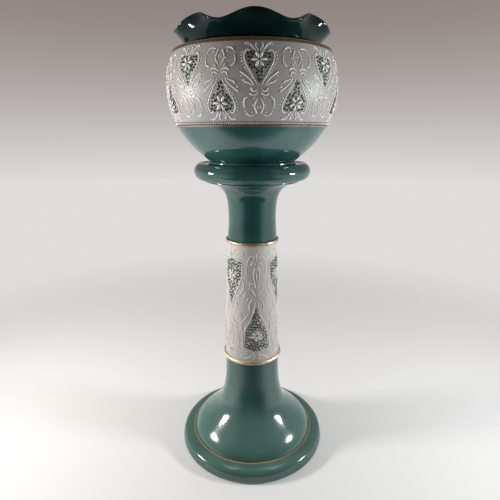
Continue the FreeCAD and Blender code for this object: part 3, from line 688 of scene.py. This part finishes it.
class TurnDome(bpy.types.Operator):
    """The dome of the foot, turned as one fine skin with a wall, for smooth reflections"""
    bl_idname = "jardiniere.turn_dome"
    bl_label = "Turn the dome"

    def execute(self, context):
        low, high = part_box("stand_foot_dome")
        profile = dome_profile(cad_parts["stand_foot_dome"], low.z, high.z)
        mesh = bpy.data.meshes.new("stand_dome")
        mesh.from_pydata(
            [(0, -radius, height) for radius, height in profile],
            [(ring, ring + 1) for ring in range(DOME_RINGS)], [],
        )
        piece = bpy.data.objects.new("stand_dome", mesh)
        context.scene.collection.objects.link(piece)
        only(piece)
        bpy.ops.object.mode_set(mode="EDIT")
        bpy.ops.mesh.select_all(action="SELECT")
        bpy.ops.mesh.spin(steps=DOME_STEPS, angle=FULL_TURN, center=(0, 0, 0), axis=(0, 0, 1))
        bpy.ops.mesh.select_all(action="SELECT")
        bpy.ops.mesh.remove_doubles(threshold=0.02 * MM)
        bpy.ops.mesh.normals_make_consistent(inside=False)
        bpy.ops.object.mode_set(mode="OBJECT")
        if sum(face.normal.dot(face.center * Vector((1, 1, 0))) for face in mesh.polygons) < 0:
            mesh.flip_normals()
        wall = piece.modifiers.new("wall", "SOLIDIFY")
        wall.thickness = context.scene.jardiniere_sizes.dome_wall
        wall.offset = -1.0
        apply_modifiers(piece)
        glaze = glaze_material("green_glaze_dome", context.scene.jardiniere_colours, dust_and_light=0.62)
        finished(piece, STAND, glaze)
        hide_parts("stand_foot_dome")
        return {"FINISHED"}


class GlazeRim(bpy.types.Operator):
    """Darker glaze on the collar and the frilled rim, partly thicker glaze and partly painted shade, worn
    brown along the lip
    """
    bl_idname = "jardiniere.glaze_rim"
    bl_label = "Glaze the frilled rim"

    def execute(self, context):
        colours = context.scene.jardiniere_colours
        # The collar's and the rim's glaze colour is darkened, partly for thicker glaze and partly as
        # painted shade.
        glaze = glaze_material("green_glaze_collar", colours, dark=THICK_GLAZE_AND_SHADE, ior=COLLAR_IOR)
        dress(("pot_collar",), glaze)
        material, finish, shader = new_material("green_glaze_rim")
        colour, roughness, normal = glaze_finish(finish, shader, colours, dark=THICK_GLAZE_AND_SHADE)
        shader.inputs["IOR"].default_value = RIM_IOR
        where = finish.place()
        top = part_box("pot_frilled_rim")[1].z
        near_lip = finish.ramp(finish.parts(where)["Z"], top - 14 * MM, top - 5 * MM)
        upward = finish.ramp(finish.parts(finish.facing())["Z"], 0.55, 0.95)
        patchy = finish.ramp(finish.noise(where, 40.0, 5.0), 0.40, 0.62)
        worn = finish.math("MULTIPLY", finish.math("MULTIPLY", near_lip, upward), patchy)
        finish.join(finish.mix(worn, colour, BARE_LIP), shader.inputs["Base Color"])
        roughness = finish.math("ADD", roughness, finish.math("MULTIPLY", worn, 0.2))
        finish.join(roughness, shader.inputs["Roughness"])
        finish.join(normal, shader.inputs["Normal"])
        dress(("pot_frilled_rim",), material)
        return {"FINISHED"}


class GildLines(bpy.types.Operator):
    """Gilding on the rings and lines, with the wear each of them shows"""
    bl_idname = "jardiniere.gild_lines"
    bl_label = "Gild the rings and lines"

    def execute(self, context):
        colours = context.scene.jardiniere_colours
        lapped_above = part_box("stand_upper_gilt_ring")[1].z - 0.7 * MM
        browned = tuple(0.6 * channel for channel in colours.brown_gilding)
        for node, material in (
            # The lower ring's gold is painted brighter than any gold can be, as painted light.
            ("stand_lower_gilt_ring", gilding_material("gilding", colours, 0.1, tone_and_painted_light=1.36)),
            ("stand_upper_gilt_ring", gilding_material("gilding_lapped", colours, 0.3, lapped_above, 0.9)),
            ("stand_foot_gilt_line", slip_material("gilding_worn", WORN_GILT, 0.5, 0.28)),
            ("pot_lower_gilt_line", gilding_material("gilding_rubbed", colours, 0.4, tone_and_painted_light=0.5)),
            ("pot_upper_gilt_line", slip_material("gilding_browned", browned, 0.6, 0.3)),
        ):
            dress((node,), material)
        return {"FINISHED"}


class LayGrounds(bpy.types.Operator):
    """The grey slip grounds of the band and the drum, and the dark ground of the tooled rows"""
    bl_idname = "jardiniere.lay_grounds"
    bl_label = "Lay the slip grounds"

    def execute(self, context):
        colours = context.scene.jardiniere_colours
        # The same slip on both: painted darker on the band and lighter on the drum as painted light.
        dress(("pot_belly_band",), ground_material("grey_ground", colours, 0.93))
        dress(("stand_drum",), ground_material("grey_ground_painted_lighter", colours, 1.45))
        dress(
            ("pot_lower_bead_row", "pot_upper_bead_row"),
            slip_material("bead_ground", colours.bead_ground, 0.6, 0.4),
        )
        return {"FINISHED"}


class TrailSlip(bpy.types.Operator):
    """The raised white slip lines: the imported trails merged, thinned and smoothed"""
    bl_idname = "jardiniere.trail_slip"
    bl_label = "Trail the white slip"

    def execute(self, context):
        sizes = context.scene.jardiniere_sizes
        material = slip_material("white_slip", context.scene.jardiniere_colours.slip)
        for node, body in (("pot_slip_trails", POT), ("stand_slip_trails", STAND)):
            piece = stamped(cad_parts[node], Matrix.Identity(4))
            piece.name = node + "_fired"
            only(piece)
            bpy.ops.mesh.customdata_custom_splitnormals_clear()
            bpy.ops.object.mode_set(mode="EDIT")
            bpy.ops.mesh.select_all(action="SELECT")
            bpy.ops.mesh.remove_doubles(threshold=0.002 * MM)
            bpy.ops.object.mode_set(mode="OBJECT")
            thin = piece.modifiers.new("thin", "DECIMATE")
            thin.ratio = sizes.trail_keep
            apply_modifiers(piece)
            finished(piece, body, material)
            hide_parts(node)
        return {"FINISHED"}


class DotSlip(bpy.types.Operator):
    """Small white slip dots beside the hearts and plumes"""
    bl_idname = "jardiniere.dot_slip"
    bl_label = "Dot the white slip"

    def execute(self, context):
        sizes = context.scene.jardiniere_sizes
        material = bpy.data.materials["white_slip"]
        model = domed_model("slip_dot_model", sizes.slip_dot_radius, 0.6 * sizes.slip_dot_radius)
        for wall, sprays, places, body, name in (
            (pot_wall(), POT_SPRAYS, POT_WHITE_DOTS, POT, "pot_slip_dots"),
            (drum_wall(), DRUM_SPRAYS, DRUM_WHITE_DOTS, STAND, "stand_slip_dots"),
        ):
            chance = random.Random(7)

            def spray(flip):
                dots = [
                    stamped(model, wall.seat(across, up * flip, 0.0, chance.uniform(0.85, 1.15)))
                    for across, up in mirrored(places)
                ]
                return joined(dots, "slip_dot_spray")

            finished(all_round(spray, sprays, name), body, material)
        remove(model)
        return {"FINISHED"}


class SetFlorets(bpy.types.Operator):
    """The dark enamel florets: five dots round a middle, and single dots between them"""
    bl_idname = "jardiniere.set_florets"
    bl_label = "Set the dark florets"

    def execute(self, context):
        sizes = context.scene.jardiniere_sizes
        material = slip_material("dark_enamel", context.scene.jardiniere_colours.enamel, 1.8, 0.22)
        model = domed_model("enamel_dot_model", sizes.dot_radius, sizes.dot_height)
        for wall, sprays, rosettes, singles, heart, blossom_up, body, name, node in (
            (pot_wall(), POT_SPRAYS, POT_ROSETTES, POT_SINGLES, POT_HEART, POT_BLOSSOM_UP, POT,
             "pot_floret_dots", "pot_florets"),
            (drum_wall(), DRUM_SPRAYS, DRUM_ROSETTES, DRUM_SINGLES, DRUM_HEART, DRUM_BLOSSOM_UP, STAND,
             "stand_floret_dots", "stand_florets"),
        ):
            chance = random.Random(11)
            reach = sizes.rosette_radius / MM

            def spray(flip):
                dots = []
                taken = list(singles)
                for across, up, spin in rosettes:
                    for dot in range(FLORET_DOTS):
                        turn = math.radians(spin + 360 / FLORET_DOTS * dot + chance.uniform(-7, 7))
                        out = reach * chance.uniform(0.92, 1.08)
                        here = (across + out * math.cos(turn), up + out * math.sin(turn))
                        seat = wall.seat(here[0], here[1] * flip, turn * flip, chance.uniform(0.9, 1.12))
                        dots.append(stamped(model, seat @ Matrix.Diagonal((1.12, 0.95, 1, 1))))
                        taken.append(here)
                more = gaps_filled(heart, taken, blossom_up, sizes.dot_pitch / MM, chance)
                for across, up in list(singles) + more:
                    seat = wall.seat(across, up * flip, chance.uniform(0, 3), chance.uniform(0.8, 1.05))
                    dots.append(stamped(model, seat @ Matrix.Diagonal((1.15, 0.92, 1, 1))))
                return joined(dots, "floret_spray")

            piece = finished(all_round(spray, sprays, name), body, material)
            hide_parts(node)
        remove(model)
        return {"FINISHED"}


class SetBlossoms(bpy.types.Operator):
    """The six-petalled white blossom with an orange brown eye in each heart"""
    bl_idname = "jardiniere.set_blossoms"
    bl_label = "Set the blossoms"

    def execute(self, context):
        sizes = context.scene.jardiniere_sizes
        colours = context.scene.jardiniere_colours
        petal_finish = slip_material("blossom_white", colours.slip, 0.85, 0.3)
        eye_finish = slip_material("orange_enamel", colours.eye, 0.5, 0.3)
        petal = petal_model(sizes)
        eye = domed_model("eye_model", sizes.eye_radius, 1.3 * MM, 12, 8)
        for wall, sprays, up, body, prefix in (
            (pot_wall(), POT_SPRAYS, POT_BLOSSOM_UP, POT, "pot"),
            (drum_wall(), DRUM_SPRAYS, DRUM_BLOSSOM_UP, STAND, "stand"),
        ):
            reach = (sizes.eye_radius * 0.8 + sizes.petal_length / 2) / MM
            pitch = math.degrees(FULL_TURN / sprays["count"])
            petals = []
            eyes = []
            chance = random.Random(5)
            for number in range(sprays["count"]):
                flip = 1 if number % 2 == 0 else -1
                around = math.radians(sprays["first_down"] + pitch * number)
                place = Matrix.Rotation(around, 4, "Z")
                spin = math.radians(PETAL_SPINS[number % len(PETAL_SPINS)])
                for part in range(BLOSSOM_PETALS):
                    turn = spin + FULL_TURN * part / BLOSSOM_PETALS + chance.uniform(-0.09, 0.09)
                    out = reach * chance.uniform(0.94, 1.04)
                    across, along = out * math.cos(turn), up * flip + out * math.sin(turn)
                    seat = wall.seat(across, along, turn, chance.uniform(0.92, 1.06))
                    petals.append(stamped(petal, place @ seat))
                eyes.append(stamped(eye, place @ wall.seat(0.0, up * flip)))
            piece = finished(joined(petals, prefix + "_petals"), body, petal_finish)
            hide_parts(prefix + "_blossom_petals")
            piece = finished(joined(eyes, prefix + "_eyes"), body, eye_finish)
            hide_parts(prefix + "_blossom_eyes")
        remove(petal)
        remove(eye)
        dress(("pot_leaf_buds",), slip_material("cream_enamel", colours.cream))
        return {"FINISHED"}


class ToolRows(bpy.types.Operator):
    """The raised ticks of the tooled rows above and below the band"""
    bl_idname = "jardiniere.tool_rows"
    bl_label = "Tool the bead rows"

    def execute(self, context):
        sizes = context.scene.jardiniere_sizes
        colours = context.scene.jardiniere_colours
        white = slip_material("bead_white", colours.slip, 0.6, 0.4)
        brown = slip_material("bead_brown", colours.brown_gilding, 0.5, 0.35)
        for row, name, slot, material in (
            ("pot_lower_bead_row", "pot_lower_ticks", "bead_slip", white),
            ("pot_upper_bead_row", "pot_upper_ticks", "gilding", brown),
        ):
            low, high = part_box(row)
            point, normal = cast(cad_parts[row], 0.0, (low.z + high.z) / 2)
            lean = math.asin(normal.z)
            pitch = -FULL_TURN * point.y / sizes.tick_count
            model = tick_model("tick_model", 0.45 * pitch, 0.72 * (high.z - low.z), 0.5 * MM)
            model.data.transform(Matrix.Translation(point) @ Matrix.Rotation(-lean, 4, "X"))
            only(model)
            bpy.ops.object.mode_set(mode="EDIT")
            bpy.ops.mesh.select_all(action="SELECT")
            last = sizes.tick_count - 1
            sweep = FULL_TURN * last / sizes.tick_count
            bpy.ops.mesh.spin(steps=last, dupli=True, angle=sweep, center=(0, 0, 0), axis=(0, 0, 1))
            bpy.ops.object.mode_set(mode="OBJECT")
            model.name = name
            finished(model, POT, material)
        return {"FINISHED"}


class SetStage(bpy.types.Operator):
    """Pale floor and surround, a dark card, two side lamps, a soft lamp overhead and the camera"""
    bl_idname = "jardiniere.set_stage"
    bl_label = "Set the studio"

    def execute(self, context):
        self.lay_floor(context)
        self.hang_surround(context)
        self.stand_dark_card()
        self.place_lamps()
        self.place_camera(context)
        context.scene.view_settings.view_transform = "Standard"
        return {"FINISHED"}

    def lay_floor(self, context):
        colours = context.scene.jardiniere_colours
        deselect_all()
        bpy.ops.mesh.primitive_circle_add(
            vertices=128, radius=2.6, fill_type="NGON", location=(0, 0, -0.5 * MM)
        )
        floor = bpy.context.object
        floor.name = "studio_floor"
        bpy.ops.object.transform_apply(location=True)
        material, finish, shader = new_material("pale_floor")
        shader.inputs["Roughness"].default_value = 0.9
        shader.inputs["Specular IOR Level"].default_value = 0.1
        shader.inputs["Base Color"].default_value = rgba(colours.floor)
        shader.inputs["Emission Color"].default_value = rgba(colours.floor)
        finish.join(finish.math("MULTIPLY", self.sight(finish), 0.14), shader.inputs["Emission Strength"])
        where = finish.place()
        reach = finish.add("ShaderNodeVectorMath", operation="LENGTH")
        finish.join(where, reach.inputs[0])
        fade = finish.ramp(reach.outputs["Value"], 0.35, 1.7)
        in_front = finish.ramp(finish.parts(where)["Y"], -0.42, -0.2, 1.0, 0.0)
        finish.fade_out(shader, finish.math("MAXIMUM", fade, in_front))
        floor.data.materials.append(material)

    def sight(self, finish):
        """One where the camera looks, straight, in a reflection or through glass."""
        path = finish.add("ShaderNodeLightPath")
        seen = finish.math("MAXIMUM", path.outputs["Is Camera Ray"], path.outputs["Is Glossy Ray"])
        return finish.math("MAXIMUM", seen, path.outputs["Is Transmission Ray"])

    def hang_surround(self, context):
        world = bpy.data.worlds.new("pale_surround")
        context.scene.world = world
        world.use_nodes = True
        finish = Finish(world.node_tree)
        finish.tree.nodes.clear()
        toward = finish.parts(finish.add("ShaderNodeTexCoord").outputs["Generated"])
        seen = finish.add("ShaderNodeValToRGB")
        stops = seen.color_ramp.elements
        stops[0].position, stops[0].color = 0.0, SEEN_BELOW
        stops[1].position, stops[1].color = 1.0, SEEN_ABOVE
        middle = stops.new(0.46)
        middle.color = SEEN_BELOW
        finish.join(finish.ramp(toward["Z"], -0.5, 0.32), seen.inputs["Fac"])
        shown = finish.add("ShaderNodeBackground")
        finish.join(seen.outputs["Color"], shown.inputs["Color"])
        lit = finish.add("ShaderNodeBackground")
        warm = finish.ramp(toward["Z"], -0.1, 0.5)
        finish.join(finish.mix(warm, (1.0, 0.99, 0.98, 1.0), (1.0, 0.84, 0.74, 1.0)), lit.inputs["Color"])
        overhead = finish.ramp(toward["Z"], -0.4, 0.55, 1.7, 0.14)
        behind = finish.ramp(toward["Y"], -0.85, 0.1, 0.16, 1.0)
        finish.join(finish.math("MULTIPLY", overhead, behind), lit.inputs["Strength"])
        finish.show(finish.add("ShaderNodeOutputWorld"), self.sight(finish), lit, shown)

    def stand_dark_card(self):
        """The dark end of the room behind the camera, which only reflections show."""
        deselect_all()
        bpy.ops.mesh.primitive_cylinder_add(
            vertices=64, radius=1.7, depth=4.25, end_fill_type="NGON", location=(0, 0, 1.875)
        )
        card = bpy.context.object
        card.name = "dark_card"
        bpy.ops.object.mode_set(mode="EDIT")
        bpy.ops.mesh.select_all(action="SELECT")
        bpy.ops.mesh.bisect(plane_co=(0, -0.1, 0), plane_no=(0, 1, 0), clear_outer=True)
        bpy.ops.object.mode_set(mode="OBJECT")
        bpy.ops.object.transform_apply(location=True)
        material, finish, shader = new_material("dark_card")
        shader.inputs["Base Color"].default_value = (0.0, 0.0, 0.0, 1.0)
        shader.inputs["Roughness"].default_value = 1.0
        shader.inputs["Specular IOR Level"].default_value = 0.0
        shader.inputs["Emission Color"].default_value = (0.02, 0.017, 0.015, 1.0)
        shader.inputs["Emission Strength"].default_value = 1.0
        sideways = finish.math("ABSOLUTE", finish.parts(finish.place())["X"], 0.0)
        finish.fade_out(shader, finish.ramp(sideways, 0.8, 1.6))
        card.data.materials.append(material)
        card.visible_camera = False
        card.visible_diffuse = False
        card.visible_transmission = False
        card.visible_volume_scatter = False
        card.visible_shadow = False

    def hang_lamp(self, name, wide, tall, watts, place, turned, tint=(1.0, 1.0, 1.0)):
        lamp = bpy.data.lights.new(name, "AREA")
        lamp.shape = "RECTANGLE"
        lamp.size = wide
        lamp.size_y = tall
        lamp.energy = watts
        lamp.color = tint
        holder = bpy.data.objects.new(name, lamp)
        holder.location = place
        holder.rotation_euler = turned
        bpy.context.scene.collection.objects.link(holder)

    def place_lamps(self):
        for name, azimuth, wide, watts, tint in (
            ("lamp_left", -82.0, 0.26, 12.5, (1.0, 0.985, 0.96)),
            ("lamp_right", 79.0, 0.24, 9.5, (0.94, 1.0, 1.02)),
        ):
            turn = math.radians(azimuth)
            place = Vector((LAMP_REACH * math.sin(turn), -LAMP_REACH * math.cos(turn), LAMP_UP))
            turned = (LAMP_AIM - place).to_track_quat("-Z", "Y").to_euler()
            self.hang_lamp(name, wide, LAMP_TALL, watts, place, turned, tint)
        self.hang_lamp("lamp_over", 1.2, 0.8, 5.0, (0.0, 0.45, 2.3), (math.radians(-12), 0, 0))

    def place_camera(self, context):
        camera = bpy.data.cameras.new("camera")
        camera.sensor_width = 36.0
        camera.lens = 29.24
        camera.shift_x = -0.0044
        camera.dof.use_dof = False
        holder = bpy.data.objects.new("camera", camera)
        holder.location = (0.0, -0.854, 0.7173)
        holder.rotation_euler = (math.radians(73.79), 0.0, 0.0)
        context.scene.collection.objects.link(holder)
        context.scene.camera = holder


class JardinierePanel(bpy.types.Panel):
    """The jardiniere's sizes, colours and making steps"""
    bl_idname = "VIEW3D_PT_jardiniere"
    bl_label = "Jardiniere on stand"
    bl_space_type = "VIEW_3D"
    bl_region_type = "UI"
    bl_category = "Jardiniere"

    def draw(self, context):
        for group in (context.scene.jardiniere_sizes, context.scene.jardiniere_colours):
            box = self.layout.box()
            for name in group.__annotations__:
                box.prop(group, name)
        for step in STEPS:
            self.layout.operator(step.bl_idname)


STEPS = (
    SetStage, GlazeSections, TurnDome, GlazeRim, GildLines, LayGrounds, TrailSlip, DotSlip,
    SetFlorets, SetBlossoms, ToolRows,
)


def register():
    for kind in (JardiniereSizes, JardiniereColours, *STEPS, JardinierePanel):
        bpy.utils.register_class(kind)
    bpy.types.Scene.jardiniere_sizes = PointerProperty(type=JardiniereSizes)
    bpy.types.Scene.jardiniere_colours = PointerProperty(type=JardiniereColours)


def unregister():
    del bpy.types.Scene.jardiniere_sizes
    del bpy.types.Scene.jardiniere_colours
    for kind in (JardinierePanel, *reversed(STEPS), JardiniereColours, JardiniereSizes):
        bpy.utils.unregister_class(kind)


def main():
    register()
    for step in STEPS:
        getattr(bpy.ops.jardiniere, step.bl_idname.split(".")[1])()


if __name__ == "__main__":
    main()
